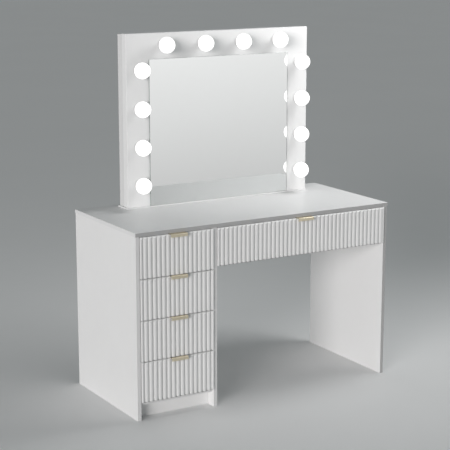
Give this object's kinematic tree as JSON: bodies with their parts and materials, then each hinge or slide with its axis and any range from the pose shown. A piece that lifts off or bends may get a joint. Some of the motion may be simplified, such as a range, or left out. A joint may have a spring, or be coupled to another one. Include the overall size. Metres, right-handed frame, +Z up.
{
  "type": "vanity table with mirror",
  "caption": "Desk-height vanity table with a fluted drawer pedestal, a wide fluted drawer over the knee space, and an upright mirror framed by round lamps.",
  "frame": {"origin": "on the floor under the middle of the whole object's width and depth, the drawer pulls included", "axes": "+X to the right along the front, +Y back towards the wall, +Z up; the drawers open along -Y"},
  "size_m": [1.2, 0.564, 1.475],
  "materials": {
    "white_board": "white melamine-faced board, matt with a faint grain emboss, edges banded",
    "fluted_front": "milled fibreboard front, matt white lacquer over the ribs",
    "drawer_box_board": "white foil-wrapped board",
    "mirror_box_board": "white melamine-faced board, matt",
    "white_hardboard": "thin white-painted hardboard",
    "pull_metal": "champagne anodised, finely brushed along its length",
    "coated_steel": "white epoxy powder coat",
    "mirror_glass": "silvered float glass, polished edge",
    "opal_lamp": "opal diffuser, lit",
    "black_plastic": "fine moulded texture"
  },
  "bodies": {
    "desk": {"top_panel": "white_board", "left_side_panel": "white_board", "divider_panel": "white_board", "right_side_panel": "white_board", "pedestal_bottom_panel": "white_board", "plinth_board": "white_board", "pedestal_back_panel": "white_hardboard", "knee_back_rail": "white_board", "drawer_1_runner_left": "coated_steel", "drawer_1_runner_right": "coated_steel", "drawer_2_runner_left": "coated_steel", "drawer_2_runner_right": "coated_steel", "drawer_3_runner_left": "coated_steel", "drawer_3_runner_right": "coated_steel", "drawer_4_runner_left": "coated_steel", "drawer_4_runner_right": "coated_steel", "wide_drawer_runner_left": "coated_steel", "wide_drawer_runner_right": "coated_steel", "mirror_base_strip": "white_board", "mirror_front_board": "white_board", "mirror_glass": "mirror_glass", "mirror_box_left": "mirror_box_board", "mirror_box_right": "mirror_box_board", "mirror_box_top": "mirror_box_board", "mirror_back_cover": "white_hardboard", "power_inlet": "black_plastic", "mirror_bracket_left": "coated_steel", "mirror_bracket_right": "coated_steel", "lamp_left_1": "opal_lamp", "lamp_left_2": "opal_lamp", "lamp_left_3": "opal_lamp", "lamp_left_4": "opal_lamp", "lamp_right_1": "opal_lamp", "lamp_right_2": "opal_lamp", "lamp_right_3": "opal_lamp", "lamp_right_4": "opal_lamp", "lamp_top_1": "opal_lamp", "lamp_top_2": "opal_lamp", "lamp_top_3": "opal_lamp", "lamp_top_4": "opal_lamp"},
    "drawer_1": {"drawer_1_front": "fluted_front", "drawer_1_box": "drawer_box_board", "drawer_1_bottom": "white_hardboard", "drawer_1_pull": "pull_metal"},
    "drawer_2": {"drawer_2_front": "fluted_front", "drawer_2_box": "drawer_box_board", "drawer_2_bottom": "white_hardboard", "drawer_2_pull": "pull_metal"},
    "drawer_3": {"drawer_3_front": "fluted_front", "drawer_3_box": "drawer_box_board", "drawer_3_bottom": "white_hardboard", "drawer_3_pull": "pull_metal"},
    "drawer_4": {"drawer_4_front": "fluted_front", "drawer_4_box": "drawer_box_board", "drawer_4_bottom": "white_hardboard", "drawer_4_pull": "pull_metal"},
    "wide_drawer": {"wide_drawer_front": "fluted_front", "wide_drawer_box": "drawer_box_board", "wide_drawer_bottom": "white_hardboard", "wide_drawer_pull": "pull_metal"}
  },
  "joints": [
    {"name": "drawer_1_slide", "type": "slide", "parent": "desk", "child": "drawer_1", "axis": [0, -1, 0], "range_m": [0, 0.33]},
    {"name": "drawer_2_slide", "type": "slide", "parent": "desk", "child": "drawer_2", "axis": [0, -1, 0], "range_m": [0, 0.33]},
    {"name": "drawer_3_slide", "type": "slide", "parent": "desk", "child": "drawer_3", "axis": [0, -1, 0], "range_m": [0, 0.33]},
    {"name": "drawer_4_slide", "type": "slide", "parent": "desk", "child": "drawer_4", "axis": [0, -1, 0], "range_m": [0, 0.33]},
    {"name": "wide_drawer_slide", "type": "slide", "parent": "desk", "child": "wide_drawer", "axis": [0, -1, 0], "range_m": [0, 0.33]}
  ]
}
